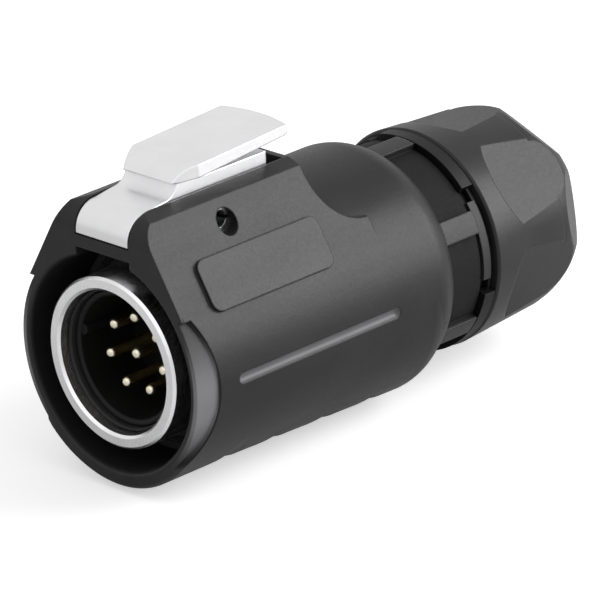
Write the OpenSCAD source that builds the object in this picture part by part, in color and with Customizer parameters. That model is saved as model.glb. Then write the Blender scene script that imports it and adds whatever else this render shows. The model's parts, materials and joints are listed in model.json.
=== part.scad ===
// Push-pull circular cable plug with a sprung latch lever.
// The plug's axis is X: the mating end faces -X, the cable leaves at +X, and the latch is up, at +Z.
// X = 0 is the front face of the metal spigot. Lengths are millimetres.

/* [Collar and mouth] */
// Radius of the collar and of the body behind it
collar_r = 17; // [15:0.1:21]
// Wall of the collar round the mouth
collar_wall = 2.2; // [1.6:0.1:2.8]
// How far the collar's rim stands ahead of the spigot
rim_ahead = 0.4; // [0.2:0.1:1.5]
// Depth of the mouth behind the spigot's face
mouth_depth = 10; // [8:0.5:14]
// Thickness of the web that carries the spigot
web_t = 4; // [3.4:0.1:6]
// Depth of the crescent relief on each side of the collar, at the rim
relief_depth = 0.8; // [0.5:0.05:0.9]
// Length of that relief at its middle
relief_len = 3.6; // [2.5:0.1:5]

/* [Body] */
// Length of the body from the spigot's face to its rear shoulder
body_len = 48.4; // [45:0.2:60]
// Radius of the bore behind the web
bore_r = 11.5; // [11:0.1:12]
// How far the belly's rear end hangs below the collar's line
belly_rise = 0.8; // [0.4:0.1:1.2]
// Number of finger waves under the belly
wave_count = 4; // [3:1:5]
// Depth of each wave
wave_depth = 0.5; // [0.3:0.05:0.8]
// Length of the long groove on each side
groove_len = 30; // [20:1:36]
// Width of that groove
groove_w = 1.4; // [1:0.1:2]

/* [Latch housing] */
// Lean of the block's side faces, as the angle of their normal from upright
side_angle = 59; // [56:1:62]
// Height of the block's top above the axis, at the slot's edge
block_top = 21.4; // [20.6:0.1:23]
// Length of the lever's slot behind the spigot's face
slot_len = 27.8; // [27:0.1:30]
// Place of the lever's pivot along the axis
pivot_x = 13.4; // [12.6:0.1:14.6]
// Height of the lever's pivot above the axis
pivot_z = 17.8; // [17.6:0.1:18.4]
// Length of the bare name panel
panel_len = 22; // [16:1:24]
// Width of the bare name panel
panel_w = 7.2; // [4:0.2:8]
// How far the panel stands proud
panel_h = 0.5; // [0.2:0.1:0.8]

/* [Latch lever] */
// Width of the lever between the ears
lever_w = 9.5; // [8:0.1:10.4]
// Width of the thumb pad
pad_w = 12.2; // [10:0.1:14]
// Thickness of the thumb pad
pad_t = 1.6; // [1.2:0.1:2]
// Radius of the pivot pin
pin_r = 1.65; // [1.3:0.05:1.8]
// Outer radius of the latch spring
spring_r = 2.1; // [1.7:0.1:2.3]
// Wire diameter of the latch spring
spring_wire = 0.45; // [0.3:0.05:0.5]

/* [Spigot and contacts] */
// Outer radius of the metal spigot
spigot_r = 11.75; // [11:0.05:12]
// Radius of the spigot's bore
spigot_bore = 9.4; // [9:0.1:9.6]
// Radius of the well that the contacts stand in
well_r = 8.45; // [7.6:0.05:8.6]
// Depth of the insert's rim behind the spigot's face
insert_sunk = 2.4; // [1:0.1:3.4]
// Depth of the contact tips behind the spigot's face
tip_sunk = 4; // [3:0.1:6]
// Depth of the well's floor behind the spigot's face
well_floor = 12; // [9:0.5:14]
// Number of contacts round the ring, with one more at the centre
ring_contacts = 7; // [5:1:7]
// Radius of the ring of contacts
contact_ring = 5.1; // [4.4:0.1:5.6]
// Radius of a contact pin
contact_r = 0.8; // [0.6:0.05:1]
// Angle of the polarising rib from upright
key_angle = 283; // [260:1:300]

/* [Neck and gland] */
// Radius of the ribs round the neck
neck_r = 15.4; // [15.2:0.05:15.9]
// Length of the neck
neck_len = 6.2; // [5:0.1:9]
// Radius of the neck's floor between the ribs
neck_floor = 14.5; // [14.2:0.05:14.8]
// Number of ribs round the neck
rib_count = 6; // [3:1:8]
// Width of each rib, as an angle
rib_span = 12; // [8:1:20]
// Angle of the first rib, from upright
rib_angle = 5; // [0:1:30]
// Outer radius of the threaded stub
stub_r = 12.7; // [12.6:0.05:12.8]
// Length of the threaded stub
stub_len = 9.4; // [8:0.1:12]
// Bore of the cable grommet
cable_r = 6.1; // [4:0.1:6.5]

/* [Gland nut] */
// Length of the gland nut
nut_len = 21.7; // [21:0.1:26]
// Radius of the nut's front collar
nut_r = 15.5; // [15.3:0.05:16.5]
// Radius of the nut where its dome begins
nut_rear_r = 14.5; // [14.2:0.05:15]
// Distance from the axis to each wrench flat on the nut
nut_flat = 13.9; // [13.8:0.05:14.2]
// Radius of the dome at the rear of the nut
dome_r = 8; // [7:0.1:9]

/* [Hidden] */
$fn = 96;

// running clearance of parts that turn or slide
run = 0.05;
// seated clearance of parts that are pushed home
seat = 0.02;
// clearance where a moving part passes a wall
pass = 0.25;
// how far a cutter runs past the face that it cuts
past = 1;

// stations along the axis
rim_x = -rim_ahead;
web_x = mouth_depth;
web_end = web_x + web_t;
neck_x = body_len;
neck_end = neck_x + neck_len;
stub_end = neck_end + stub_len;
ring_gap = 0.35;
ring_t = 2;
ring_band = 0.6;
nut_x = neck_end + ring_gap + ring_t + 0.25;
nut_end = nut_x + nut_len;

// radii of the mouth and of the block's side faces
mouth_r = collar_r - collar_wall;
side_r = collar_r - 0.06;

// the lever's slot
slot_half = lever_w / 2 + pass;
rim_t = 1.8;
window_end = 6.2;
window_roof = mouth_r + 0.5;
front_floor = mouth_r + 1.2;
rear_floor = pivot_z - 3.7;
boss_r = pin_r + 1.2;

// the latch spring stands between a pocket in the slot's floor and one in the lever
spring_x = pivot_x + 8;
spring_low = bore_r + 1.1;
lever_under = pivot_z;
spring_high = lever_under + 1.5;
spring_turns = 5;
pocket_r = spring_r + 0.2;

// the spigot is stepped in at the gasket, and its flange is moulded into the web
root_r = spigot_r - 0.3;
root_x = web_x - 1.7;
flange_r = spigot_r + 1.45;
flange_x = web_x + 1;
flange_t = 2;
tail_r = bore_r - 0.2;
sleeve_end = web_end + 8;

// the insert and what holds it
insert_r = spigot_bore - run;
insert_flange_r = bore_r - 0.6;
insert_flange_t = 2;
insert_end = sleeve_end + insert_flange_t;
back_t = 2;
back_end = insert_end + back_t;
ring_nut_t = 3;
contact_flange_r = contact_r + 0.55;
contact_flange_t = 1;
contact_end = back_end + 5;

// the gland
stub_seal_r = 0.5;
stub_seal_mid = stub_r - 0.35;
stub_seal_x = nut_x + 2.2;
claw_r = bore_r - 0.08;
claw_bore = claw_r - 1.5;
claw_x = stub_end - 5;
claw_flange_r = stub_r - 0.4;
claw_flange_t = 1.4;
finger_count = 8;
nut_bore = stub_r + 0.3;
end_wall = 2.8;
washer_t = 0.8;
washer_space = 1.2;
cone_end = nut_end - end_wall - washer_space;
finger_end = cone_end - 0.3;
finger_lead = 2;
cone_small = claw_bore + 0.9;

/* ---- helpers ---- */

// a solid turned about X from a profile of [radius, x] points
module turned() {
    rotate([0, 90, 0])
        rotate_extrude()
            children();
}

// a round bar or bore along X
module bar(x0, x1, r) {
    translate([x0, 0, 0])
        rotate([0, 90, 0])
            cylinder(h = x1 - x0, r = r);
}

// a tube along X
module pipe(x0, x1, r_out, r_in) {
    difference() {
        bar(x0, x1, r_out);
        bar(x0 - past, x1 + past, r_in);
    }
}

// children repeated about X, turned from +Z towards -Y
module round_x(count, first = 0) {
    for (i = [0 : count - 1])
        rotate([first + i * 360 / count, 0, 0])
            children();
}

// a block that is centred on y, between two stations and two heights
module slab(x0, x1, half_y, z0, z1) {
    translate([x0, -half_y, z0])
        cube([x1 - x0, 2 * half_y, z1 - z0]);
}

// an outline of [x, z] points pushed out along Y, centred on y = 0
module across(width) {
    rotate([90, 0, 0])
        linear_extrude(height = width, center = true)
            children();
}

// a rounded rectangle from exact circles
module rounded_rect(l, w, r) {
    square([l - 2 * r, w], center = true);
    square([l, w - 2 * r], center = true);
    for (sx = [-1, 1], sy = [-1, 1])
        translate([sx * (l / 2 - r), sy * (w / 2 - r)])
            circle(r = r);
}

/* ---- housing ---- */

shoulder_r = 6;
shoulder_x = neck_x - 4.1;
// profile of the round body: its rear shoulder curves in to the neck
module body_profile() {
    difference() {
        union() {
            translate([0, rim_x])
                square([collar_r, shoulder_x - rim_x]);
            translate([collar_r - shoulder_r, shoulder_x])
                intersection() {
                    circle(r = shoulder_r);
                    translate([-shoulder_r, -past])
                        square([2 * shoulder_r, neck_x - shoulder_x + past]);
                }
            square([collar_r - shoulder_r, neck_x]);
            square([neck_r, neck_end]);
            square([stub_r, stub_end]);
        }
        // the edges of the rim and of the stub's end
        polygon([[collar_r - 0.4, rim_x - 0.01], [collar_r + past, rim_x - 0.01], [collar_r + past, rim_x + 0.4],
            [collar_r, rim_x + 0.4]]);
        polygon([[stub_r - 0.6, stub_end + 0.01], [stub_r + past, stub_end + 0.01], [stub_r + past, stub_end - 0.6],
            [stub_r, stub_end - 0.6]]);
    }
}

belly_x = 8;
belly_end = neck_x - 5;
// the belly is a cone about a lower axis, so it fades into the round body
module belly() {
    translate([0, 0, -belly_rise])
        turned()
            difference() {
                polygon([[0, belly_x], [collar_r - belly_rise, belly_x], [collar_r, belly_end], [collar_r, neck_x],
                    [0, neck_x]]);
                translate([collar_r - shoulder_r, belly_end])
                    difference() {
                        square(2 * shoulder_r);
                        circle(r = shoulder_r);
                    }
            }
}

wave_r = 9;
wave_first = 11;
wave_pitch = (neck_x - wave_first - 10.4) / (wave_count - 1);
wave_lift = 1.2;
// one finger wave: a ring cut about a raised axis, so it is deepest underneath
module wave(i) {
    x = wave_first + i * wave_pitch;
    under = collar_r + belly_rise * (x - belly_x) / (belly_end - belly_x);
    translate([x, 0, wave_lift])
        rotate([0, 90, 0])
            rotate_extrude()
                translate([under + wave_lift - wave_depth + wave_r, 0])
                    circle(r = wave_r);
}

relief_r = 21;
// the crescents on the collar's sides, down to a cone that is narrowest at the rim
module reliefs() {
    difference() {
        translate([relief_len - rim_ahead - relief_r, 0, 0])
            rotate([90, 0, 0])
                cylinder(h = 3 * collar_r, r = relief_r, center = true);
        bar(-2 * relief_r, rim_x - past, collar_r);
        translate([rim_x - past, 0, 0])
            rotate([0, 90, 0])
                cylinder(h = relief_len + 2 * past, r1 = collar_r - relief_depth - 0.1, r2 = collar_r - 0.25);
        // the latch block keeps its full width
        slab(rim_x - past, relief_len + past, 2 * collar_r, 9.2, 3 * collar_r);
    }
}

ear_edge = 2.2;
ear_drop = 0.7;
// cross-section of the latch block, as [y, z]
module block_section() {
    // where the leaning side face meets the sloping top
    y_top = (side_r - (block_top - ear_drop) * cos(side_angle)) / sin(side_angle);
    // where the side face runs tangent into the round body
    y_low = side_r * sin(side_angle);
    z_low = side_r * cos(side_angle);
    polygon([[-y_low, z_low], [3 - y_low, z_low - 3], [y_low - 3, z_low - 3], [y_low, z_low],
        [y_top, block_top - ear_drop], [y_top - ear_edge, block_top],
        [ear_edge - y_top, block_top], [-y_top, block_top - ear_drop]]);
}

block_nose = 4;
ramp_r = 7.3;
ramp_x = slot_len + 8.2;
ramp_z = block_top - 1.6;
// side view of the latch block, as [x, z]
module block_side() {
    difference() {
        union() {
            translate([rim_x, 0])
                square([ramp_x - rim_x, block_top - block_nose]);
            translate([rim_x + block_nose, 0])
                square([ramp_x - rim_x - block_nose, block_top + past]);
            translate([rim_x + block_nose, block_top - block_nose])
                circle(r = block_nose);
        }
        translate([ramp_x, ramp_z])
            circle(r = ramp_r);
        translate([ramp_x - ramp_r + 0.1, ramp_z])
            square(20);
    }
}

module latch_block() {
    intersection() {
        rotate([90, 0, 90])
            translate([0, 0, -5])
                linear_extrude(height = 60)
                    block_section();
        across(60)
            block_side();
    }
}

// the slot for the lever, the hook's window and the spring's pocket
module lever_slot() {
    slab(rim_x - past, slot_len, slot_half, collar_r, block_top + past);
    slab(rim_x + rim_t, slot_len, slot_half, front_floor, collar_r + past);
    slab(web_x, slot_len, slot_half, rear_floor, collar_r + past);
    slab(rim_x + rim_t, window_end, slot_half, 0, front_floor + past);
    slab(rim_x - past, window_end, slot_half, 0, window_roof);
    translate([spring_x, 0, spring_low])
        cylinder(h = 6, r = pocket_r);
}

// everything that is open inside the housing, and the groove of the stub's seal
module housing_bores() {
    bar(rim_x - past, web_x, mouth_r);
    turned()
        polygon([[mouth_r - 0.01, rim_x - 0.01], [mouth_r + 0.4, rim_x - 0.01], [mouth_r - 0.01, rim_x + 0.4]]);
    bar(0, flange_x + 0.5, root_r);
    bar(flange_x, flange_x + flange_t, flange_r);
    bar(flange_x, web_end + past, tail_r);
    bar(web_end, stub_end + past, bore_r);
    pipe(stub_seal_x - stub_seal_r - seat, stub_seal_x + stub_seal_r + seat, stub_r + past,
        stub_seal_mid - stub_seal_r - seat);
}

// a part of a ring about X, centred on the top, with the given span
module wedge(x0, x1, span, r) {
    translate([x0, 0, 0])
        rotate([0, 90, 0])
            rotate([0, 0, 180 - span / 2])
                rotate_extrude(angle = span)
                    square([r, x1 - x0]);
}

// the floors between the neck's ribs
module neck_pockets() {
    span = 360 / rib_count - rib_span;
    intersection() {
        round_x(rib_count, rib_angle + 180 / rib_count)
            wedge(neck_x - 0.2, neck_end + past, span, neck_r + 3);
        pipe(neck_x - past, neck_end + 2 * past, neck_r + 2, neck_floor);
    }
}

// round-bottomed grooves with round ends
module side_grooves() {
    half = groove_w / 2 + 0.08;
    for (side = [-1, 1])
        translate([0, side * (collar_r + 0.2), 0]) {
            bar(6.6 + half, 6.6 + groove_len - half, half);
            for (x = [6.6 + half, 6.6 + groove_len - half])
                translate([x, 0, 0])
                    sphere(r = half);
        }
}

module name_panel() {
    rotate([side_angle, 0, 0])
        translate([5.2 + panel_len / 2, 3.7, side_r - 1])
            linear_extrude(height = 1 + panel_h)
                rounded_rect(panel_len, panel_w, 1.4);
}

module housing() {
    color([0.16, 0.16, 0.17])
        difference() {
            union() {
                difference() {
                    union() {
                        difference() {
                            union() {
                                turned()
                                    body_profile();
                                belly();
                            }
                            for (i = [0 : wave_count - 1])
                                wave(i);
                        }
                        latch_block();
                    }
                    reliefs();
                }
                name_panel();
            }
            lever_slot();
            housing_bores();
            neck_pockets();
            side_grooves();
            translate([pivot_x, 0, pivot_z])
                rotate([90, 0, 0])
                    cylinder(h = 4 * collar_r, r = pin_r + 0.01, center = true);
        }
}

/* ---- latch ---- */

foot_x = rim_x;
foot_z = collar_r + pass;
nose_r = 3.6;
nose_top = block_top - 0.3;
crease_x = 9.1;
crease_z = block_top + 2.7;
fillet_r = 2.6;
arm_end = slot_len - 2.7;
arm_top = block_top + 1.7;
// side view of the lever without hook and pad, as [x, z]: a rounded nose, a step up, and the rear arm
module lever_side() {
    nose_x = foot_x + nose_r;
    step_x = crease_x - fillet_r;
    difference() {
        union() {
            translate([nose_x, nose_top - nose_r])
                circle(r = nose_r);
            polygon([[foot_x + 1, foot_z], [foot_x + 1, foot_z + 1], [nose_x, nose_top],
                [step_x + 0.2, block_top + 0.12], [step_x + 0.2, crease_z - 0.1], [crease_x + 2.5, crease_z + 0.3],
                [crease_x + 5, arm_top], [arm_end, arm_top], [arm_end, lever_under], [pivot_x, lever_under],
                [crease_x, foot_z + 0.6], [crease_x - 1, foot_z]]);
        }
        translate([step_x, crease_z])
            circle(r = fillet_r);
        translate([foot_x - 1, foot_z - 2 * nose_r])
            square([3 * nose_r, 2 * nose_r]);
    }
}

hook_half = slot_half - 1.6;
hook_low = mouth_r - 1.1;
hook_x = rim_x + rim_t + 0.5;
// the hook: its front face is a ramp, its rear face holds
module hook_side() {
    polygon([[hook_x, foot_z + 1], [hook_x, hook_low + 1.2], [hook_x + 1.2, hook_low],
        [hook_x + 2.9, hook_low], [hook_x + 2.9, foot_z + 1]]);
}

pad_front = 9.1;
pad_end = slot_len + 1.1;
pad_rise = 0.9;
pad_low = block_top + 2.4;
pad_bow = 18;
// plan of the thumb pad: narrow where it leaves the lever, with a bowed rear edge
module pad_plan() {
    intersection() {
        polygon([[pad_front - 1, 0.3 - lever_w / 2], [pad_front - 1, lever_w / 2 - 0.3],
            [pad_front + 2.6, pad_w / 2], [pad_end + 2, pad_w / 2], [pad_end + 2, -pad_w / 2],
            [pad_front + 2.6, -pad_w / 2]]);
        translate([pad_end - pad_bow, 0])
            circle(r = pad_bow);
    }
}

pad_curve = 4.7;
// the pad climbs towards the rear, and its top curves down to the crease
module thumb_pad() {
    top = pad_low + pad_t;
    curve_x = pad_front + 3.3;
    intersection() {
        across(2 * pad_w)
            difference() {
                union() {
                    translate([curve_x - 0.3, top - pad_curve + 0.02])
                        circle(r = pad_curve);
                    polygon([[curve_x - 0.6, top + 0.02], [pad_end + 2, top + pad_rise + 0.1],
                        [pad_end + 2, pad_low - 2], [curve_x - 0.6, pad_low - 2]]);
                }
                polygon([[pad_front - 3, pad_low - 0.4], [pad_front + 0.3, pad_low - 0.4],
                    [pad_front + 2, pad_low - 0.2], [pad_end - 1.5, pad_low + pad_rise + 0.2],
                    [pad_end + 1, pad_low + pad_rise + 1.4], [pad_end + 4, pad_low + pad_rise + 1.4],
                    [pad_end + 4, pad_low - 9], [pad_front - 3, pad_low - 9]]);
            }
        translate([0, 0, block_top])
            linear_extrude(height = 10)
                pad_plan();
    }
}

module latch_lever() {
    color([0.8, 0.8, 0.8])
        difference() {
            union() {
                across(lever_w)
                    lever_side();
                across(2 * hook_half)
                    hook_side();
                translate([pivot_x, 0, pivot_z])
                    rotate([90, 0, 0])
                        cylinder(h = lever_w - 0.1, r = boss_r, center = true);
                thumb_pad();
            }
            translate([pivot_x, 0, pivot_z])
                rotate([90, 0, 0])
                    cylinder(h = 2 * lever_w, r = pin_r + run, center = true);
            translate([spring_x, 0, lever_under - past])
                cylinder(h = spring_high - lever_under + past, r = pocket_r);
        }
}

pin_half = (side_r - pivot_z * cos(side_angle)) / sin(side_angle) - 1.5;
module pivot_pin() {
    color([0.6, 0.6, 0.62])
        translate([pivot_x, 0, pivot_z])
            rotate([90, 0, 0])
                difference() {
                    cylinder(h = 2 * pin_half, r = pin_r, center = true);
                    cylinder(h = 3 * pin_half, r = pin_r - 0.45, center = true);
                    translate([0, -0.25, -2 * pin_half])
                        cube([pin_r + past, 0.5, 4 * pin_half]);
                }
}

// a round wire wound up the Z axis, with closed ends
module coil_spring(r, wire, height, turns, sides = 8, steps = 16) {
    n = turns * steps;
    climb = height - wire;
    rings = [for (i = [0 : n]) let (a = 360 * i / steps, z = wire / 2 + climb * i / n)
        for (k = [0 : sides - 1]) let (b = 360 * k / sides, q = r - wire / 2 + wire / 2 * cos(b))
            [q * cos(a), q * sin(a), z + wire / 2 * sin(b)]];
    sides_faces = [for (i = [0 : n - 1], k = [0 : sides - 1]) let (k2 = (k + 1) % sides)
        [i * sides + k, i * sides + k2, (i + 1) * sides + k2, (i + 1) * sides + k]];
    start = [[for (k = [0 : sides - 1]) sides - 1 - k]];
    end = [[for (k = [0 : sides - 1]) n * sides + k]];
    polyhedron(points = rings, faces = concat(sides_faces, start, end));
}

module latch_spring() {
    color([0.7, 0.7, 0.72])
        translate([spring_x, 0, spring_low + run])
            coil_spring(spring_r, spring_wire, spring_high - spring_low - 2 * run, spring_turns);
}

/* ---- spigot, insert and contacts ---- */

module spigot_sleeve() {
    color([0.78, 0.78, 0.8])
        turned()
            polygon([
                [spigot_bore + 0.85, 0], [spigot_r - 0.35, 0], [spigot_r, 0.35], [spigot_r, root_x],
                [root_r, root_x], [root_r, flange_x], [flange_r, flange_x], [flange_r, flange_x + flange_t], [tail_r, flange_x + flange_t],
                [tail_r, sleeve_end], [spigot_bore, sleeve_end], [spigot_bore, insert_sunk + 1.6],
                [spigot_bore + 0.5, insert_sunk + 1.6], [spigot_bore + 0.5, 0.35]
            ]);
}

// the face seal at the bottom of the mouth, with one soft ridge
module mouth_gasket() {
    color([0.08, 0.08, 0.08])
        turned()
            polygon([[root_r + 0.1, web_x], [root_r + 0.1, web_x - 1], [spigot_r + 0.9, web_x - 1],
                [spigot_r + 1.4, web_x - 1.6], [spigot_r + 1.9, web_x - 1], [mouth_r - 0.15, web_x - 1],
                [mouth_r - 0.15, web_x]]);
}

// the lip that closes the gap between the insert's rim and the spigot
module lip_seal() {
    color([0.08, 0.08, 0.08])
        turned()
            polygon([[insert_r + 0.02, insert_sunk + 1.58], [insert_r + 0.02, insert_sunk - 0.5],
                [insert_r + 0.2, insert_sunk - 0.9], [spigot_bore + 0.45, insert_sunk - 0.3],
                [spigot_bore + 0.45, insert_sunk + 1.58]]);
}

// children at each contact: the ring first, then the centre
module at_contact(i) {
    if (i < ring_contacts)
        rotate([i * 360 / ring_contacts, 0, 0])
            translate([0, 0, contact_ring])
                children();
    else
        children();
}

skirt_end = well_floor + 3;
o_ring_x = sleeve_end - 3;
o_ring_d = 1.2;
// the front of the insert: a tube round the contacts, with the polarising rib down its wall
module insert_skirt() {
    color([0.22, 0.22, 0.22]) {
        turned()
            polygon([[well_r, skirt_end - seat], [well_r, insert_sunk + 0.3], [well_r + 0.3, insert_sunk],
                [insert_r - 0.2, insert_sunk], [insert_r, insert_sunk + 0.2], [insert_r, skirt_end - seat]]);
        intersection() {
            rotate([key_angle, 0, 0])
                translate([0, 0, well_r])
                    bar(insert_sunk + 0.5, well_floor - seat, 0.8);
            bar(insert_sunk, well_floor, well_r + 0.4);
        }
    }
}

// the rear of the insert: a block with the contacts' bores, the seal's groove and a flange
module insert_core() {
    core_r = well_r - seat;
    groove_r = insert_r - o_ring_d + 0.07;
    color([0.22, 0.22, 0.22])
        difference() {
            turned()
                polygon([[0, well_floor], [core_r, well_floor], [core_r, skirt_end],
                    [insert_r, skirt_end], [insert_r, o_ring_x - o_ring_d / 2], [groove_r, o_ring_x - o_ring_d / 2],
                    [groove_r, o_ring_x + o_ring_d / 2], [insert_r, o_ring_x + o_ring_d / 2],
                    [insert_r, sleeve_end + seat], [insert_flange_r, sleeve_end + seat],
                    [insert_flange_r, insert_end], [0, insert_end]]);
            for (i = [0 : ring_contacts])
                at_contact(i) {
                    bar(well_floor - past, insert_end + past, contact_r + seat);
                    bar(insert_end - contact_flange_t, insert_end + past, contact_flange_r + seat);
                }
        }
}

// the rear plate of the insert, which traps the contacts' flanges
module insert_back() {
    color([0.25, 0.25, 0.25])
        difference() {
            bar(insert_end, back_end, insert_flange_r);
            for (i = [0 : ring_contacts])
                at_contact(i)
                    bar(insert_end - past, back_end + past, contact_r + 0.3 + seat);
        }
}

// the ring nut that clamps the insert on the end of the sleeve
module insert_ring_nut() {
    color([0.7, 0.68, 0.6])
        difference() {
            pipe(back_end, back_end + ring_nut_t, bore_r - 0.08, insert_flange_r - 2.2);
            for (a = [0, 180])
                rotate([a, 0, 0])
                    slab(back_end + ring_nut_t - 1.2, back_end + ring_nut_t + past, 1, 0, 2 * bore_r);
        }
}

module insert_o_ring() {
    color([0.1, 0.1, 0.1])
        turned()
            translate([insert_r - o_ring_d / 2 + 0.04, o_ring_x])
                circle(d = o_ring_d - 0.1);
}

// a turned contact with a domed pin, a trapped flange and a solder cup
module contact(i) {
    color([0.85, 0.78, 0.55])
        at_contact(i)
            difference() {
                union() {
                    translate([tip_sunk + contact_r, 0, 0])
                        sphere(r = contact_r);
                    bar(tip_sunk + contact_r, contact_end, contact_r);
                    bar(insert_end - contact_flange_t, insert_end, contact_flange_r);
                    bar(insert_end - contact_flange_t / 2, contact_end, contact_r + 0.3);
                }
                bar(contact_end - 3.5, contact_end + past, contact_r - 0.1);
                // the cup is open on the side away from the axis
                translate([contact_end - 2.5, -contact_r - 1, 0.3])
                    cube([4, 2 * contact_r + 2, 3]);
            }
}

/* ---- neck and gland ---- */

lug_angle = 76;
lug_count = 3;
lug_span = 43;
recess_span = 58;
lug_r = neck_r - 0.6;
ring_bore = stub_r + 0.75;
// the black seal behind the neck, with lugs that key the lock ring
module neck_seal() {
    seal_end = neck_end + ring_gap + ring_t - ring_band - seat;
    color([0.06, 0.06, 0.06]) {
        pipe(neck_end, seal_end, ring_bore - seat, stub_r);
        intersection() {
            round_x(lug_count, lug_angle)
                wedge(neck_end + ring_gap, seal_end, lug_span, neck_r + past);
            pipe(neck_end, seal_end, lug_r, stub_r + 0.2);
        }
    }
}

// a ring with recesses for the seal's lugs, closed by a thin band at the rear
module lock_ring() {
    ring_x = neck_end + ring_gap;
    color([0.25, 0.25, 0.26])
        difference() {
            pipe(ring_x, ring_x + ring_t, neck_r - 0.05, ring_bore);
            intersection() {
                round_x(lug_count, lug_angle)
                    wedge(ring_x - past, ring_x + ring_t - ring_band, recess_span, neck_r + past);
                pipe(ring_x - past, ring_x + ring_t, neck_r + past, ring_bore - 0.1);
            }
            // the band is low between the tabs
            intersection() {
                round_x(lug_count, lug_angle)
                    wedge(ring_x - past, ring_x + ring_t + past, recess_span, neck_r + past);
                pipe(ring_x - past, ring_x + ring_t + past, neck_r + past, neck_r - 1);
            }
        }
}

module stub_o_ring() {
    color([0.08, 0.08, 0.08])
        turned()
            translate([stub_seal_mid, stub_seal_x])
                circle(r = stub_seal_r);
}

module clamp_claw() {
    color([0.75, 0.75, 0.72])
        difference() {
            union() {
                bar(claw_x, stub_end + seat, claw_r);
                bar(stub_end + seat, stub_end + claw_flange_t, claw_flange_r);
                turned()
                    polygon([[0, stub_end], [claw_r, stub_end], [claw_r, finger_end - finger_lead],
                        [claw_r - 1, finger_end], [0, finger_end]]);
            }
            bar(claw_x - past, finger_end + past, claw_bore);
            round_x(finger_count)
                slab(stub_end + claw_flange_t + 1, finger_end + past, 0.6, 0, 2 * claw_r);
        }
}

module cable_grommet() {
    color([0.1, 0.1, 0.1])
        turned()
            polygon([[cable_r, claw_x + 0.5], [claw_bore - 0.1, claw_x + 0.5], [claw_bore - 0.1, finger_end - 1.5],
                [claw_bore - 1, finger_end - 0.2], [cable_r, finger_end - 0.2]]);
}

module thrust_washer() {
    color([0.6, 0.6, 0.62])
        pipe(cone_end + 0.2, cone_end + 0.2 + washer_t, cone_small - 0.3, cable_r + 0.6);
}

nut_rear = nut_end - 5.7;
dome_x = nut_end - 7.7;
// outer shape of the nut: a slight taper and a dome with a crisp edge
module nut_outside() {
    turned()
        intersection() {
            polygon([[0, nut_x], [nut_r - 0.3, nut_x], [nut_r, nut_x + 0.3], [nut_rear_r, nut_rear],
                [nut_rear_r, nut_end], [0, nut_end]]);
            union() {
                square([2 * nut_r, dome_x]);
                translate([dome_edge - dome_r, dome_x])
                    circle(r = dome_r);
                square([dome_edge - dome_r, nut_end]);
            }
        }
}

dome_edge = nut_rear_r;
corner_slope = 37;
// one wrench flat with a bowed front wall
module nut_side() {
    bow_r = 9;
    translate([nut_x + 3.5, 0, nut_flat])
        linear_extrude(height = 5) {
            translate([bow_r, 0])
                circle(r = bow_r);
            translate([bow_r, -bow_r])
                square([nut_len, 2 * bow_r]);
        }
}

// one sloping facet on the dome, over the land between two flats
module nut_corner() {
    translate([nut_rear - 0.7, 0, nut_rear_r - 0.2])
        rotate([0, corner_slope, 0])
            translate([-5, -10, 0])
                cube([20, 20, 10]);
}

nut_flat_angle = 52;
module gland_nut() {
    color([0.2, 0.2, 0.21])
        difference() {
            nut_outside();
            round_x(6, nut_flat_angle)
                nut_side();
            round_x(6, nut_flat_angle + 30)
                nut_corner();
            bar(nut_x - past, stub_end + claw_flange_t + 0.5, nut_bore);
            // the cone that closes the claw's fingers
            turned()
                polygon([[0, nut_x], [nut_bore - 0.6, nut_x], [nut_bore - 0.6, stub_end + claw_flange_t + 1],
                    [claw_r + 0.35, finger_end - finger_lead], [cone_small, cone_end],
                    [cone_small, nut_end - end_wall], [0, nut_end - end_wall]]);
            bar(nut_x, nut_end + past, cable_r + 0.5);
            // the lead at the cable's exit
            turned()
                polygon([[0, nut_end + 0.01], [cable_r + 1.3, nut_end + 0.01], [cable_r + 0.5, nut_end - 0.8],
                    [0, nut_end - 0.8]]);
        }
}

housing();
latch_lever();
pivot_pin();
latch_spring();
spigot_sleeve();
mouth_gasket();
lip_seal();
insert_skirt();
insert_core();
insert_back();
insert_ring_nut();
insert_o_ring();
contact(0);  // contact_1
contact(1);  // contact_2
contact(2);  // contact_3
contact(3);  // contact_4
contact(4);  // contact_5
contact(5);  // contact_6
contact(6);  // contact_7
contact(7);  // contact_8
neck_seal();
lock_ring();
stub_o_ring();
clamp_claw();
cable_grommet();
thrust_washer();
gland_nut();
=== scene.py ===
"""A push-pull cable plug: looks, threads and spring for the CAD frame, with its stage."""

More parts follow.
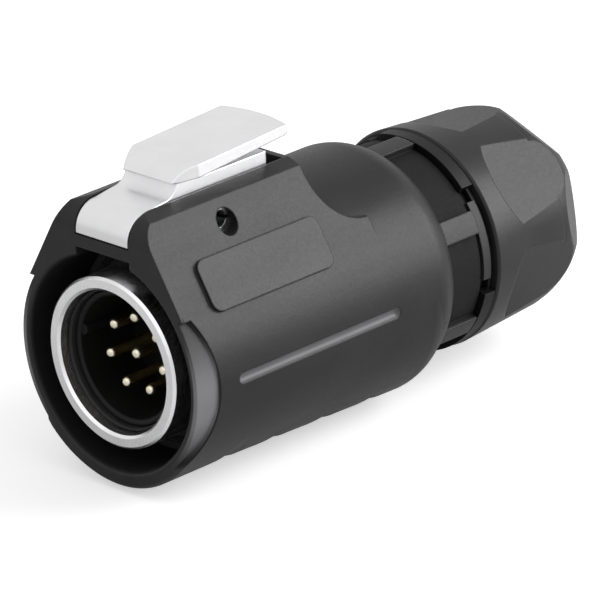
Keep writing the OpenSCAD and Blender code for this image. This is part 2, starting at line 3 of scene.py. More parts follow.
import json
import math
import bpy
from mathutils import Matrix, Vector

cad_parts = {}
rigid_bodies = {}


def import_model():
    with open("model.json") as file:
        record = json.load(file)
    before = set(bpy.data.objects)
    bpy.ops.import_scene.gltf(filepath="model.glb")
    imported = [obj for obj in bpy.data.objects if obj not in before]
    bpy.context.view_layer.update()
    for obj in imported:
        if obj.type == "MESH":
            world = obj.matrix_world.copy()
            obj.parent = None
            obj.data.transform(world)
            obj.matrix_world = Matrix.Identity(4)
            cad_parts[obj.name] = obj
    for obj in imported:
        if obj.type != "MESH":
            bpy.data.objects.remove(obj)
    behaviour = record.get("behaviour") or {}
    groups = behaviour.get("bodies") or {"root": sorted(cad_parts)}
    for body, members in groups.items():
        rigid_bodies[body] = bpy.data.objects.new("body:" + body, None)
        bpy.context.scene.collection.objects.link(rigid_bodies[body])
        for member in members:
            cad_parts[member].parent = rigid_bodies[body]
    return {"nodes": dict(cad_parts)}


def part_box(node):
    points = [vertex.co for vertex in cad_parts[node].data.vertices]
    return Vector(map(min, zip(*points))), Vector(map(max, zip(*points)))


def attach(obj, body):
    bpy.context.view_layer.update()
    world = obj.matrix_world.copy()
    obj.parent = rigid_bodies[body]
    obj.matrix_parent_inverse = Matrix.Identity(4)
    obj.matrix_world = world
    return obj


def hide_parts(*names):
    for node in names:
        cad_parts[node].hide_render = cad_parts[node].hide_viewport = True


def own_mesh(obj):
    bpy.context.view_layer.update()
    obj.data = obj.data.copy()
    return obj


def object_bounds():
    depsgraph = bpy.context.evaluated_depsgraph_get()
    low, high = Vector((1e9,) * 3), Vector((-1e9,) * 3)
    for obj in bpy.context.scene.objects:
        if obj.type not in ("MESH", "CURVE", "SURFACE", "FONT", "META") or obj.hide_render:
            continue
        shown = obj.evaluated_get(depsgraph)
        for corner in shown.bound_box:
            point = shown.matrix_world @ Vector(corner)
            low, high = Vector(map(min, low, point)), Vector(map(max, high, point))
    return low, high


bl_info = {
    "name": "Latching Cable Plug",
    "version": (1, 0, 0),
    "blender": (4, 5, 0),
    "location": "View3D > Sidebar > Cable Plug",
    "description": "Finishes, threads and return spring of a round latching plug, and its stage",
    "category": "Object",
}

import bmesh
import bpy
from bpy.props import FloatProperty, FloatVectorProperty, IntProperty, PointerProperty
from bpy.types import Operator, Panel, PropertyGroup
from mathutils import Matrix, Vector

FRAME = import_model()
CAD_LOW, CAD_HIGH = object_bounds()
NODES = FRAME["nodes"]
MM = 0.001

WHITE = (1.0, 1.0, 1.0, 1.0)

# the shell's neck and side faces, and the limits of the painted shade and painted highlights on it
NECK_LENGTH = 6.2 * MM
NECK_PAINTED_SHADE_TO = 14.8 * MM
MOUTH_PAINTED_SHADE_TO = 10.5 * MM
SIDE_FACE_INSET = 0.06 * MM
FOOT_FROM, FOOT_TO = 0.09 * MM, 0.36 * MM
PANEL_FROM = 0.3 * MM
GROOVE_FROM, GROOVE_TO, GROOVE_HALF = 6.2 * MM, 37.0 * MM, 0.95 * MM
CRESCENT_TO = 2.9 * MM
CRESCENT_LOW, CRESCENT_HIGH = -12.0 * MM, 8.5 * MM

# the gland's thread and the return spring
THREAD_LEAD = 0.5 * MM
STUB_THREAD_SHORT = 0.7 * MM
NUT_THREAD_PAST = 0.9 * MM
THREAD_DEPTH = 0.2 * MM
THREAD_WIDTH = 0.62
STEPS_PER_TURN = 48
SEAL_PROUD = 0.15 * MM
NUT_CLEARANCE = 0.3 * MM
SPRING_WIRE = 0.45 * MM

# the camera's aim and lens, and the stage's levels
AIM_RIGHT, AIM_UP = 24.45 * MM, 8.26 * MM
LENS, SENSOR = 360.0, 36.0
FLOOR_REACH = 4.0
FLOOR_GLOW = 0.5
SKY_LIGHT = 0.5
SKY_IN_GLOSS = 0.70


# ---- node graphs written as Python expressions ----


class Value:
    """A socket that takes Python's arithmetic: each operation adds a Math node."""

    def __init__(self, graph, socket):
        self.graph = graph
        self.socket = socket

    def math(self, operation, *operands):
        sockets = dict(enumerate(operands))
        return self.graph.add("ShaderNodeMath", {"operation": operation}, sockets)

    def __add__(self, other):
        return self.math("ADD", self, other)

    def __radd__(self, other):
        return self.math("ADD", other, self)

    def __sub__(self, other):
        return self.math("SUBTRACT", self, other)

    def __rsub__(self, other):
        return self.math("SUBTRACT", other, self)

    def __mul__(self, other):
        return self.math("MULTIPLY", self, other)

    def __rmul__(self, other):
        return self.math("MULTIPLY", other, self)

    def __pow__(self, other):
        return self.math("POWER", self, other)

    def __rpow__(self, other):
        return self.math("POWER", other, self)

    def least(self, other):
        return self.math("MINIMUM", self, other)

    def most(self, other):
        return self.math("MAXIMUM", self, other)

    def sine(self):
        return self.math("SINE", self)

    def cosine(self):
        return self.math("COSINE", self)

    def ramp(self, low, high, out_low=0.0, out_high=1.0):
        """Runs from out_low to out_high as the value goes from low to high, and holds outside."""
        return self.graph.add(
            "ShaderNodeMapRange",
            {"clamp": True, "interpolation_type": "SMOOTHSTEP"},
            {
                "Value": self, "From Min": low, "From Max": high,
                "To Min": out_low, "To Max": out_high,
            },
        )


class Graph:
    """A node tree, and the one way in which nodes are added to it."""

    def __init__(self, tree):
        self.tree = tree

    def add(self, kind, settings=None, sockets=None, out=0):
        """Adds a node, makes its settings, then fills its sockets with values or links."""
        node = self.tree.nodes.new(kind)
        for name, setting in (settings or {}).items():
            setattr(node, name, setting)
        for name, given in (sockets or {}).items():
            socket = node.inputs[name]
            if isinstance(given, Value):
                self.tree.links.new(given.socket, socket)
            else:
                socket.default_value = given
        return Value(self, node.outputs[out]) if len(node.outputs) else node

    def mix(self, factor, a, b):
        """Blends two colours."""
        return self.add("ShaderNodeMix", {"data_type": "RGBA"}, {0: factor, 6: a, 7: b}, out=2)

    def noise(self, place, scale, detail=3.0, roughness=0.5):
        """Cloudy variation from 0 to 1."""
        return self.add(
            "ShaderNodeTexNoise", None,
            {"Vector": place, "Scale": scale, "Detail": detail, "Roughness": roughness},
        )

    def stretched(self, place, scale):
        """Object coordinates scaled unevenly, for streaks."""
        return self.add("ShaderNodeMapping", None, {"Vector": place, "Scale": scale})

    def parts(self, vector):
        """The x, y and z of a vector."""
        split = self.add("ShaderNodeSeparateXYZ", None, {0: vector}).socket.node
        return [Value(self, output) for output in split.outputs]


class Finish(Graph):
    """A material under construction, with what its finishes share."""

    def __init__(self, name):
        self.material = bpy.data.materials.new(name)
        self.material.use_nodes = True
        super().__init__(self.material.node_tree)
        self.tree.nodes.clear()
        self.place = self.add("ShaderNodeTexCoord", out="Object")

    def edges(self, radius):
        """The rounded normal of moulded or polished edges, and a mask that is 1 on them."""
        normal = self.add("ShaderNodeBevel", {"samples": 6}, {"Radius": radius})
        flat = self.add("ShaderNodeNewGeometry", out="Normal")
        facing = self.add(
            "ShaderNodeVectorMath", {"operation": "DOT_PRODUCT"}, {0: normal, 1: flat}, out="Value"
        )
        return normal, facing.ramp(1.0, 0.9)

    def bump(self, height, depth, normal):
        """A normal with a relief of the given depth on it."""
        return self.add(
            "ShaderNodeBump", None, {"Height": height, "Distance": depth, "Normal": normal}
        )

    def surface(self, sockets):
        """Ends the material in one Principled shader."""
        shader = self.add("ShaderNodeBsdfPrincipled", None, sockets)
        self.add("ShaderNodeOutputMaterial", None, {"Surface": shader})
        return self.material

    def metal(self, colour, roughness, normal):
        """Ends the material as bare metal."""
        return self.surface(
            {"Base Color": colour, "Metallic": 1.0, "Roughness": roughness, "Normal": normal}
        )


# ---- finishes ----


def shade(colour, factor):
    """A colour made lighter or darker, with its alpha kept."""
    return tuple(min(1.0, channel * factor) for channel in colour[:3]) + (1.0,)


def moulded_plastic(
    name, colour, roughness, shine=0.28, grain=0.014 * MM, edge=0.3 * MM, painted_light=None
):
    """Glass-filled nylon from a spark-eroded mould: fine grain, faint flow marks, polished edges.

    A caller may give two masks: painted shade, where the plastic is also rougher, and a paler mask
    of painted highlight.
    """
    finish = Finish(name)
    cloud = finish.noise(finish.place, 90.0, 4.0)
    speck = finish.noise(finish.place, 5200.0, 2.0, 0.6)
    pebble = finish.noise(finish.place, 2300.0, 2.0, 0.5)
    flow = finish.noise(finish.stretched(finish.place, (40.0, 260.0, 260.0)), 1.0, 3.0)
    rounded, worn_edge_and_sheen = finish.edges(edge)
    tone = cloud.ramp(0.3, 0.7) * 0.6 + flow.ramp(0.3, 0.7) * 0.4
    base = finish.mix(tone, shade(colour, 0.72), shade(colour, 1.28))
    base = finish.mix(speck.ramp(0.62, 0.8) * 0.35, base, shade(colour, 1.9))
    # edges painted paler: part rubbed wear, part painted sheen where the rounded edges catch light
    base = finish.mix(worn_edge_and_sheen * cloud.ramp(0.35, 0.65) * 0.5, base, shade(colour, 1.7))
    rough = pebble * 0.16 + cloud * 0.12 + flow * 0.1 + (roughness - 0.19) - worn_edge_and_sheen * 0.08
    if painted_light:
        painted_shade, pale = painted_light(finish)
        # painted highlight: lightens the side grooves and the crescents beside the rim, and faintly
        # the raised panel
        base = finish.mix(pale * (0.8 + cloud * 0.4), base, shade(colour, 14.0))
        # painted shade: the mouth's inside, the neck's floor and the foot of the panel's wall are
        # darkened, and made rougher too
        base = finish.mix(painted_shade, base, shade(colour, 0.12))
        rough = (rough + painted_shade * 0.35) - pale * 0.08
    normal = finish.bump(pebble + speck * 0.5, grain, rounded)
    return finish.surface({
        "Base Color": base, "Roughness": rough, "Normal": normal,
        "IOR": 1.5, "Specular IOR Level": shine,
    })


def band(value, low, high, soft):
    """A mask that is 1 from low to high, with soft ends."""
    return value.ramp(low, low + soft) * value.ramp(high - soft, high, 1.0, 0.0)


def shell_painted_light(finish):
    """The shell's painted shade and painted light, as two masks.

    Painted shade: the mouth's inside, the neck's floor between its ribs, and the foot of the
    panel's wall.
    Paler: painted highlights in the side grooves and on the crescents beside the rim, and a faint
    paling of the raised panel.
    """
    x, y, z = finish.parts(finish.place)
    radius = (y * y + z * z) ** 0.5
    collar = CAD_HIGH.y
    neck_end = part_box("neck_seal")[0].x
    neck_start = neck_end - NECK_LENGTH
    # painted shade on the neck's floor between its ribs
    neck = radius.ramp(NECK_PAINTED_SHADE_TO, NECK_PAINTED_SHADE_TO + 0.3 * MM, 1.0, 0.0)
    neck = neck * x.ramp(neck_start - 0.4 * MM, neck_start + 0.1 * MM)
    # painted shade inside the mouth
    mouth = radius.ramp(collar - 2.1 * MM, collar - 1.9 * MM, 1.0, 0.0)
    mouth = mouth * x.ramp(MOUTH_PAINTED_SHADE_TO, MOUTH_PAINTED_SHADE_TO + 0.5 * MM, 1.0, 0.0)
    lean = settings().side_lean
    from_face = y * (-math.sin(lean)) + z * math.cos(lean) - (collar - SIDE_FACE_INSET)
    on_panel = from_face.ramp(PANEL_FROM, PANEL_FROM + 0.15 * MM)
    # painted shade along the foot of the panel's wall
    foot = band(from_face, FOOT_FROM, FOOT_TO, 0.03 * MM)
    # painted highlight along the side grooves
    groove = band(z, -GROOVE_HALF, GROOVE_HALF, 0.2 * MM)
    groove = groove * radius.ramp(collar - 0.12 * MM, collar - 0.03 * MM, 1.0, 0.0)
    groove = groove * band(x, GROOVE_FROM, GROOVE_TO, 0.3 * MM)
    groove = groove * radius.ramp(collar - 1.3 * MM, collar - 1.0 * MM)
    # painted highlight on the crescents beside the rim
    crescent = x.ramp(CRESCENT_TO, CRESCENT_TO + 0.4 * MM, 1.0, 0.0)
    crescent = crescent * radius.ramp(collar - 0.26 * MM, collar - 0.2 * MM, 1.0, 0.0)
    crescent = crescent * radius.ramp(collar - 1.5 * MM, collar - 1.2 * MM)
    crescent = crescent * band(z, CRESCENT_LOW, CRESCENT_HIGH, 9.0 * MM)
    # the second mask: painted highlights on grooves and crescents, and a faint paling of the panel
    pale = (on_panel * 0.07).most(groove * 0.6).most(crescent)
    # the first mask is painted shade: the neck's floor, the mouth's inside and the foot of the
    # panel's wall
    return neck.most(mouth).most(foot), pale


def satin_nickel(name, colour, roughness, grain=(1.0, 1.0, 1.0), edge=0.25 * MM):
    """Plated die casting: a soft blasted satin, faint handling marks, wear and painted sheen on
    edges.
    """
    finish = Finish(name)
    cloud = finish.noise(finish.place, 160.0, 4.0)
    blast = finish.noise(finish.place, 6500.0, 2.0, 0.6)
    streak = finish.noise(finish.stretched(finish.place, tuple(900.0 * g for g in grain)), 1.0, 3.0)
    rounded, worn_edge_and_sheen = finish.edges(edge)
    base = finish.mix(cloud.ramp(0.3, 0.7) * 0.5, colour, shade(colour, 0.9))
    # edges painted brighter: part wear, part painted sheen
    base = finish.mix(worn_edge_and_sheen * 0.6, base, shade(colour, 1.15))
    rough = roughness - 0.09 + cloud * 0.08 + streak * 0.06 + blast * 0.05 - worn_edge_and_sheen * 0.08
    normal = finish.bump(blast * 0.6 + streak * 0.4, 0.002 * MM, rounded)
    return finish.metal(base, rough, normal)


def turned_metal(name, colour, roughness):
    """Metal off a lathe: fine rings about the plug's own axis."""
    finish = Finish(name)
    x, y, z = finish.parts(finish.place)
    radius = (y * y + z * z) ** 0.5
    cloud = finish.noise(finish.place, 300.0, 3.0)
    rings = ((x + radius) * 26000.0 + cloud * 3.0).sine()
    rounded, worn_edge_and_sheen = finish.edges(0.08 * MM)
    base = finish.mix(cloud.ramp(0.3, 0.7) * 0.5, colour, shade(colour, 0.88))
    rough = roughness - 0.05 + cloud * 0.1 + rings * 0.02 - worn_edge_and_sheen * 0.05
    normal = finish.bump(rings, 0.0012 * MM, rounded)
    return finish.metal(base, rough, normal)


def gold_contact(name, colour, roughness):
    """Thin gold over a turned pin, paler where it is rubbed at the tip."""
    finish = Finish(name)
    x, _, _ = finish.parts(finish.place)
    cloud = finish.noise(finish.place, 700.0, 3.0)
    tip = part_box("contact_8")[0].x
    rubbed = x.ramp(tip, tip + 2.2 * MM, 1.0, 0.0) * (0.5 + cloud * 0.5)
    rounded, _ = finish.edges(0.08 * MM)
    base = finish.mix(rubbed, colour, (0.86, 0.83, 0.74, 1.0))
    rings = (x * 21000.0 + cloud * 2.0).sine()
    normal = finish.bump(rings, 0.001 * MM, rounded)
    rough = roughness + cloud * 0.1
    return finish.metal(base, rough, normal)


def sealing_rubber(name, colour, roughness):
    """Moulded rubber with a matt bloom and a little dust."""
    finish = Finish(name)
    cloud = finish.noise(finish.place, 220.0, 4.0)
    grain = finish.noise(finish.place, 3600.0, 2.0, 0.6)
    rounded, _ = finish.edges(0.15 * MM)
    base = finish.mix(cloud.ramp(0.45, 0.75) * 0.5, colour, shade(colour, 2.2))
    normal = finish.bump(grain, 0.01 * MM, rounded)
    rough = roughness + grain * 0.1 - 0.05
    return finish.surface({"Base Color": base, "Roughness": rough, "Normal": normal})


def drawn_wire(name, colour, roughness):
    """Spring wire: bright, with fine lengthwise draw marks."""
    finish = Finish(name)
    cloud = finish.noise(finish.place, 500.0, 3.0)
    draw = finish.noise(finish.stretched(finish.place, (900.0, 900.0, 9000.0)), 1.0, 2.0)
    base = finish.mix(cloud.ramp(0.4, 0.7), colour, shade(colour, 0.75))
    normal = finish.bump(draw, 0.002 * MM, finish.add("ShaderNodeNewGeometry", out="Normal"))
    rough = roughness + draw * 0.1
    return finish.metal(base, rough, normal)


def dress(name, material):
    """Gives a CAD node its finish."""
    data = NODES[name].data
    data.materials.clear()
    data.materials.append(material)


# ---- geometry node trees ----


def face_outwards(mesh):
    """Turns a closed mesh's faces outwards and shades it smooth, with its hard edges kept."""
    shape = bmesh.new()
    shape.from_mesh(mesh)
    bmesh.ops.recalc_face_normals(shape, faces=shape.faces)
    shape.to_mesh(mesh)
    shape.free()
    mesh.shade_smooth()
    mesh.set_sharp_from_angle(angle=math.radians(40.0))


class Shape(Graph):
    """A geometry node tree with named inputs, turned into plain meshes."""

    def __init__(self, name):
        super().__init__(bpy.data.node_groups.new(name, "GeometryNodeTree"))
        self.tree.interface.new_socket(
            "Geometry", in_out="OUTPUT", socket_type="NodeSocketGeometry"
        )
        self.entry = self.add("NodeGroupInput").socket.node
        self.ids = {}

    def named(self, name, default, kind="NodeSocketFloat"):
        """A named input of the tree."""
        item = self.tree.interface.new_socket(name, in_out="INPUT", socket_type=kind)
        item.default_value = default
        self.ids[name] = item.identifier
        return Value(self, self.entry.outputs[name])

    def close(self, geometry, material):
        """Ends the tree in Realize Instances and Set Material."""
        geometry = self.add("GeometryNodeRealizeInstances", None, {"Geometry": geometry})
        geometry = self.add(
            "GeometryNodeSetMaterial", None, {"Geometry": geometry, "Material": material}
        )
        self.add("NodeGroupOutput", None, {"Geometry": geometry})

    def make(self, name, **inputs):
        """A mesh object of the tree's shape, with no modifier left on it."""
        holder = bpy.data.objects.new(name, bpy.data.meshes.new(name))
        bpy.context.scene.collection.objects.link(holder)
        modifier = holder.modifiers.new("shape", "NODES")
        modifier.node_group = self.tree
        for label, given in inputs.items():
            modifier[self.ids[label.replace("_", " ")]] = given
        graph = bpy.context.evaluated_depsgraph_get()
        mesh = bpy.data.meshes.new_from_object(holder.evaluated_get(graph))
        holder.modifiers.remove(modifier)
        holder.data = mesh
        mesh.name = name
        face_outwards(mesh)
        return holder


def build_thread(material):
    """A right-handed thread ridge about the X axis, closed all round and pointed at both ends."""
    shape = Shape("screw thread")
    start = shape.named("Start", 0.0)
    radius = shape.named("Radius", 0.01)
    pitch = shape.named("Pitch", 0.0015)
    turns = shape.named("Turns", 4.0)
    depth = shape.named("Depth", 0.0002)
    width = shape.named("Width", 0.0009)
    steps = shape.named("Steps", 200, "NodeSocketInt")
    # a flat grid is rolled up across its width into a six-sided ridge, and wound round the axis
    grid = shape.add(
        "GeometryNodeMeshGrid", None,
        {"Size X": 1.0, "Size Y": 1.0, "Vertices X": steps, "Vertices Y": 7},
    )
    u, v, _ = shape.parts(shape.add("GeometryNodeInputPosition"))
    t = u + 0.5
    round_ridge = (v + 0.5) * (2.0 * math.pi)
    # the ridge grows to its full height over two fifths of a turn at each end
    run_out = (t * turns * 2.5).least((1.0 - t) * turns * 2.5).least(1.0)
    angle = t * turns * (2.0 * math.pi)
    x = start + t * turns * pitch + round_ridge.cosine() * width * 0.5 * run_out
    reach = radius + round_ridge.sine() * depth * run_out
    spot = shape.add(
        "ShaderNodeCombineXYZ", None, {0: x, 1: reach * angle.cosine(), 2: reach * angle.sine()}
    )
    ridge = shape.add("GeometryNodeSetPosition", None, {"Geometry": grid, "Position": spot})
    ridge = shape.add(
        "GeometryNodeMergeByDistance", None, {"Geometry": ridge, "Distance": 0.002 * MM}
    )
    shape.close(ridge, material)
    return shape


def build_coil(material):
    """A compression spring along Z with its end turns closed."""
    shape = Shape("return spring")
    foot = shape.named("Foot", (0.0, 0.0, 0.0), "NodeSocketVector")
    radius = shape.named("Radius", 0.002)
    wire = shape.named("Wire", 0.00045)
    height = shape.named("Height", 0.007)
    turns = shape.named("Turns", 6.0)
    steps = shape.named("Steps", 180, "NodeSocketInt")

    line = shape.add(
        "GeometryNodeCurvePrimitiveLine", None, {"Start": (0, 0, 0), "End": (1, 0, 0)}
    )
    line = shape.add("GeometryNodeResampleCurve", None, {"Curve": line, "Count": steps})
    t = shape.add("GeometryNodeSplineParameter", out="Factor")
    angle = t * turns * (2.0 * math.pi)
    # the pitch closes up towards both ends
    climb = wire * 0.5 + (height - wire) * (t.ramp(0.12, 0.88) * 0.7 + t.ramp(0.05, 0.95) * 0.3)
    arm = radius - wire * 0.5
    spot = shape.add(
        "ShaderNodeCombineXYZ", None, {0: arm * angle.cosine(), 1: arm * angle.sine(), 2: climb}
    )
    path = shape.add("GeometryNodeSetPosition", None, {"Geometry": line, "Position": spot})
    wire_ring = shape.add(
        "GeometryNodeCurvePrimitiveCircle", None, {"Resolution": 10, "Radius": wire * 0.5}
    )
    coil = shape.add(
        "GeometryNodeCurveToMesh", None,
        {"Curve": path, "Profile Curve": wire_ring, "Fill Caps": True},
    )
    coil = shape.add("GeometryNodeTransform", None, {"Geometry": coil, "Translation": foot})
    shape.close(coil, material)
    return shape


# ---- settings ----


class PlugSettings(PropertyGroup):
    """The plug's colours, the sizes that can be set, and the camera's place"""

    shell_colour: FloatVectorProperty(
        name="Shell", description="Colour of the moulded shell",
        subtype="COLOR", size=4, min=0.0, max=1.0,
        default=(0.013, 0.013, 0.0135, 1.0),
    )
    nut_colour: FloatVectorProperty(
        name="Nut", description="Colour of the gland nut",
        subtype="COLOR", size=4, min=0.0, max=1.0,
        default=(0.017, 0.017, 0.0175, 1.0),
    )
    lever_colour: FloatVectorProperty(
        name="Lever", description="Colour of the plated lever",
        subtype="COLOR", size=4, min=0.0, max=1.0,
        default=(0.87, 0.87, 0.88, 1.0),
    )
    spigot_colour: FloatVectorProperty(
        name="Spigot", description="Colour of the metal spigot",
        subtype="COLOR", size=4, min=0.0, max=1.0,
        default=(0.92, 0.92, 0.93, 1.0),
    )
    contact_colour: FloatVectorProperty(
        name="Contacts", description="Colour of the plated contacts",
        subtype="COLOR", size=4, min=0.0, max=1.0,
        default=(0.86, 0.70, 0.38, 1.0),
    )
    side_lean: FloatProperty(
        name="Side Lean", description="Lean of the normal of the shell's side faces",
        default=math.radians(59.0), subtype="ANGLE",
    )
    thread_pitch: FloatProperty(
        name="Thread Pitch", description="Pitch of the gland's thread",
        default=1.5 * MM, min=0.8 * MM, max=2.0 * MM, precision=4, unit="LENGTH",
    )
    spring_turns: IntProperty(
        name="Spring Turns", description="Turns of the return spring", default=6, min=4, max=8,
    )
    camera_azimuth: FloatProperty(
        name="Azimuth", description="Camera's bearing round the plug",
        default=math.radians(-44.38), subtype="ANGLE",
    )
    camera_elevation: FloatProperty(
        name="Elevation", description="Camera's height as an angle",
        default=math.radians(21.61), subtype="ANGLE",
    )
    camera_roll: FloatProperty(
        name="Roll", description="Camera's lean", default=math.radians(-2.74), subtype="ANGLE",
    )
    camera_distance: FloatProperty(
        name="Distance", description="Camera's distance from the spigot",
        default=0.777, min=0.1, unit="LENGTH",
    )


def settings():
    """The plug's settings in this scene."""
    return bpy.context.scene.cable_plug


# ---- operators ----


class PLUG_OT_shell(Operator):
    """Finish the moulded shell and its lock ring"""

    bl_idname = "cable_plug.shell"
    bl_label = "Shell"

    def execute(self, context):
        colour = settings().shell_colour[:]
        shell = moulded_plastic("moulded shell", colour, roughness=0.42, painted_light=shell_painted_light)
        dress("housing", shell)
        # the lock ring is black plastic, darkened to near black also as painted shade in the gap
        # between the neck and the nut
        ring = moulded_plastic(
            "lock ring plastic", shade(colour, 0.2), roughness=0.5, shine=0.25, edge=0.12 * MM
        )
        dress("lock_ring", ring)
        return {"FINISHED"}


class PLUG_OT_lever(Operator):
    """Finish the latch lever and its pin"""

    bl_idname = "cable_plug.lever"
    bl_label = "Latch Lever"

    def execute(self, context):
        colour = settings().lever_colour[:]
        plating = satin_nickel("lever nickel", colour, roughness=0.36, grain=(0.3, 3.0, 3.0))
        dress("latch_lever", plating)
        steel = satin_nickel("pin steel", (0.56, 0.57, 0.58, 1.0), roughness=0.3, edge=0.1 * MM)
        dress("pivot_pin", steel)
        return {"FINISHED"}


class PLUG_OT_spring(Operator):
    """Wind the return spring under the lever"""

    bl_idname = "cable_plug.spring"
    bl_label = "Return Spring"

    def execute(self, context):
        low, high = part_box("latch_spring")
        coil = build_coil(drawn_wire("spring wire", (0.62, 0.63, 0.65, 1.0), roughness=0.25))
        spring = coil.make(
            "return_spring", Foot=((low.x + high.x) / 2, (low.y + high.y) / 2, low.z),
            Radius=(high.x - low.x) / 2, Wire=SPRING_WIRE, Height=high.z - low.z,
            Turns=float(settings().spring_turns),
        )
        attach(spring, "plug")
        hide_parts("latch_spring")
        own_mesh(spring)
        return {"FINISHED"}


class PLUG_OT_mating_end(Operator):
    """Finish the spigot, the seals, the insert and the contacts"""

    bl_idname = "cable_plug.mating_end"
    bl_label = "Mating End"

    def execute(self, context):
        rubber = sealing_rubber("black rubber", (0.012, 0.012, 0.012, 1.0), roughness=0.6)
        for name in ("mouth_gasket", "lip_seal", "insert_o_ring"):
            dress(name, rubber)
        spigot = turned_metal("spigot nickel", settings().spigot_colour[:], roughness=0.28)
        dress("spigot_sleeve", spigot)
        black = (0.006, 0.006, 0.006, 1.0)
        insert = moulded_plastic(
            "insert plastic", black, roughness=0.5, shine=0.2, grain=0.006 * MM
        )
        for name in ("insert_skirt", "insert_core", "insert_back"):
            dress(name, insert)
        ring_nut = turned_metal("ring nut nickel", (0.62, 0.58, 0.48, 1.0), roughness=0.32)
        dress("insert_ring_nut", ring_nut)
        gold = gold_contact("contact gold", settings().contact_colour[:], roughness=0.18)
        for name in NODES:
            if name.startswith("contact_"):
                dress(name, gold)
        return {"FINISHED"}


class PLUG_OT_gland(Operator):
    """Finish the gland and cut its threads"""

    bl_idname = "cable_plug.gland"
    bl_label = "Cable Gland"

    def execute(self, context):
        nut = moulded_plastic("nut plastic", settings().nut_colour[:], roughness=0.38)
        dress("gland_nut", nut)
        claw = moulded_plastic(
            "claw plastic", (0.30, 0.30, 0.29, 1.0), roughness=0.5, edge=0.12 * MM
        )
        dress("clamp_claw", claw)
        grommet = sealing_rubber("grommet rubber", (0.02, 0.02, 0.02, 1.0), roughness=0.62)
        dress("cable_grommet", grommet)
        washer = turned_metal("washer steel", (0.60, 0.61, 0.62, 1.0), roughness=0.25)
        dress("thrust_washer", washer)
        rubber = sealing_rubber("seal rubber", (0.008, 0.008, 0.008, 1.0), roughness=0.6)
        for name in ("neck_seal", "stub_o_ring"):
            dress(name, rubber)
        self.cut_threads()
        return {"FINISHED"}

    def cut_threads(self):
        """The stub's thread and the nut's, half a pitch apart so that they run in each other."""
        pitch = settings().thread_pitch
        stub_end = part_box("housing")[1].x
        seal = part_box("stub_o_ring")[1]
        stub_r = seal.z - SEAL_PROUD
        start = seal.x + THREAD_LEAD
        turns = (stub_end - STUB_THREAD_SHORT - start) / pitch
        self.thread("stub_thread", "housing", "plug", "shell", start, stub_r, turns)
        bore_r = stub_r + NUT_CLEARANCE
        inner_start = start + 0.5 * pitch
        inner_turns = (stub_end + NUT_THREAD_PAST - inner_start) / pitch
        self.thread("nut_thread", "gland_nut", "nut", "nut", inner_start, bore_r, inner_turns)

    def thread(self, name, node, body, slot, start, radius, turns):
        """One thread ridge, of the node's own material, that moves with the body."""
        pitch = settings().thread_pitch
        tree = build_thread(NODES[node].active_material)
        ridge = tree.make(
            name, Start=start, Radius=radius, Pitch=pitch, Turns=turns, Depth=THREAD_DEPTH,
            Width=THREAD_WIDTH * pitch, Steps=int(turns * STEPS_PER_TURN),
        )
        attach(ridge, body)


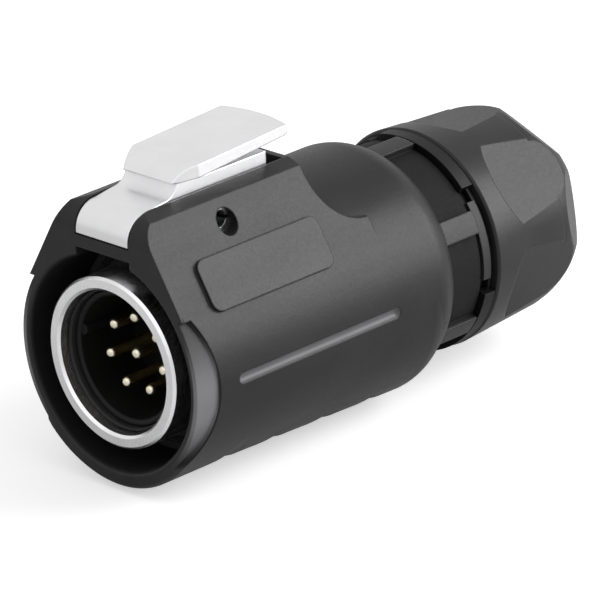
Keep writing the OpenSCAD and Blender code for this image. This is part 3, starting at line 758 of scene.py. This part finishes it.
class PLUG_OT_stage(Operator):
    """Set the camera, the lamps and the pale floor"""

    bl_idname = "cable_plug.stage"
    bl_label = "Stage"

    def execute(self, context):
        self.set_camera(context)
        self.set_floor(context)
        self.set_world(context)
        self.set_lamp(context, "overhead softbox", place=(-0.28, -0.30, 0.75), size=1.80, power=2.2)
        self.set_lamp(context, "side softbox", place=(0.43, -0.38, 0.25), size=0.50, power=3.8)
        context.scene.view_settings.view_transform = "Standard"
        return {"FINISHED"}

    def set_camera(self, context):
        """A long lens, aimed past the plug's axis, with a slight roll."""
        wish = settings()
        azimuth, elevation, roll = wish.camera_azimuth, wish.camera_elevation, wish.camera_roll
        level = math.cos(elevation)
        back = Vector((math.sin(azimuth) * level, -math.cos(azimuth) * level, math.sin(elevation)))
        right = Vector((math.cos(azimuth), math.sin(azimuth), 0.0))
        up = back.cross(right)
        turned_right = right * math.cos(roll) + up * math.sin(roll)
        turned_up = up * math.cos(roll) - right * math.sin(roll)
        eye = turned_right * AIM_RIGHT + turned_up * AIM_UP + back * wish.camera_distance
        camera = bpy.data.objects.new("camera", bpy.data.cameras.new("camera"))
        axes = Matrix((turned_right, turned_up, back)).transposed().to_4x4()
        camera.matrix_world = Matrix.Translation(eye) @ axes
        camera.data.lens = LENS
        camera.data.sensor_width = SENSOR
        camera.data.clip_start = 0.01
        context.scene.collection.objects.link(camera)
        context.scene.camera = camera

    def set_floor(self, context):
        """A white floor under the plug that keeps its shadow."""
        low = CAD_LOW.z
        mesh = bpy.data.meshes.new("floor")
        far = FLOOR_REACH
        corners = [(-far, -far, low), (far, -far, low), (far, far, low), (-far, far, low)]
        mesh.from_pydata(corners, [], [(0, 1, 2, 3)])
        floor = bpy.data.objects.new("floor", mesh)
        context.scene.collection.objects.link(floor)
        material = bpy.data.materials.new("white floor")
        material.use_nodes = True
        graph = Graph(material.node_tree)
        material.node_tree.nodes.clear()
        seen = graph.add("ShaderNodeLightPath", out="Is Camera Ray")
        paint = graph.add("ShaderNodeBsdfDiffuse", None, {"Color": (0.8, 0.8, 0.8, 1.0)})
        glow = graph.add(
            "ShaderNodeEmission", None, {"Color": WHITE, "Strength": seen * FLOOR_GLOW}
        )
        both = graph.add("ShaderNodeAddShader", None, {0: paint, 1: glow})
        graph.add("ShaderNodeOutputMaterial", None, {"Surface": both})
        mesh.materials.append(material)

    def set_world(self, context):
        """A plain light all round, white to the camera and pale in reflections."""
        world = bpy.data.worlds.new("studio")
        world.use_nodes = True
        context.scene.world = world
        world.node_tree.nodes.clear()
        graph = Graph(world.node_tree)
        seen = graph.add("ShaderNodeLightPath", out="Is Camera Ray")
        glossy = graph.add("ShaderNodeLightPath", out="Is Glossy Ray")
        strength = SKY_LIGHT + seen.most(glossy * SKY_IN_GLOSS) * (1.0 - SKY_LIGHT)
        sky = graph.add("ShaderNodeBackground", None, {"Color": WHITE, "Strength": strength})
        graph.add("ShaderNodeOutputWorld", None, {"Surface": sky})

    def set_lamp(self, context, name, place, size, power):
        """A round soft lamp, aimed at the plug's middle."""
        lamp = bpy.data.objects.new(name, bpy.data.lights.new(name, "AREA"))
        lamp.data.shape = "DISK"
        lamp.data.size = size
        lamp.data.energy = power
        centre = (CAD_LOW + CAD_HIGH) / 2
        lamp.location = Vector(place)
        lamp.rotation_euler = (centre - lamp.location).to_track_quat("-Z", "Y").to_euler()
        context.scene.collection.objects.link(lamp)


STEPS = (
    PLUG_OT_shell, PLUG_OT_lever, PLUG_OT_spring, PLUG_OT_mating_end, PLUG_OT_gland, PLUG_OT_stage,
)


class PLUG_PT_panel(Panel):
    """The plug's sizes and colours, and a button for each group of pieces"""

    bl_idname = "PLUG_PT_panel"
    bl_label = "Cable Plug"
    bl_space_type = "VIEW_3D"
    bl_region_type = "UI"
    bl_category = "Cable Plug"

    def draw(self, context):
        for name in PlugSettings.__annotations__:
            self.layout.prop(settings(), name)
        for step in STEPS:
            self.layout.operator(step.bl_idname)


CLASSES = (PlugSettings, *STEPS, PLUG_PT_panel)


def register():
    for item in CLASSES:
        bpy.utils.register_class(item)
    bpy.types.Scene.cable_plug = PointerProperty(type=PlugSettings)


def unregister():
    del bpy.types.Scene.cable_plug
    for item in reversed(CLASSES):
        bpy.utils.unregister_class(item)


def main():
    """Makes the whole plug and its stage."""
    register()
    for step in STEPS:
        group, name = step.bl_idname.split(".")
        getattr(getattr(bpy.ops, group), name)()


if __name__ == "__main__":
    main()
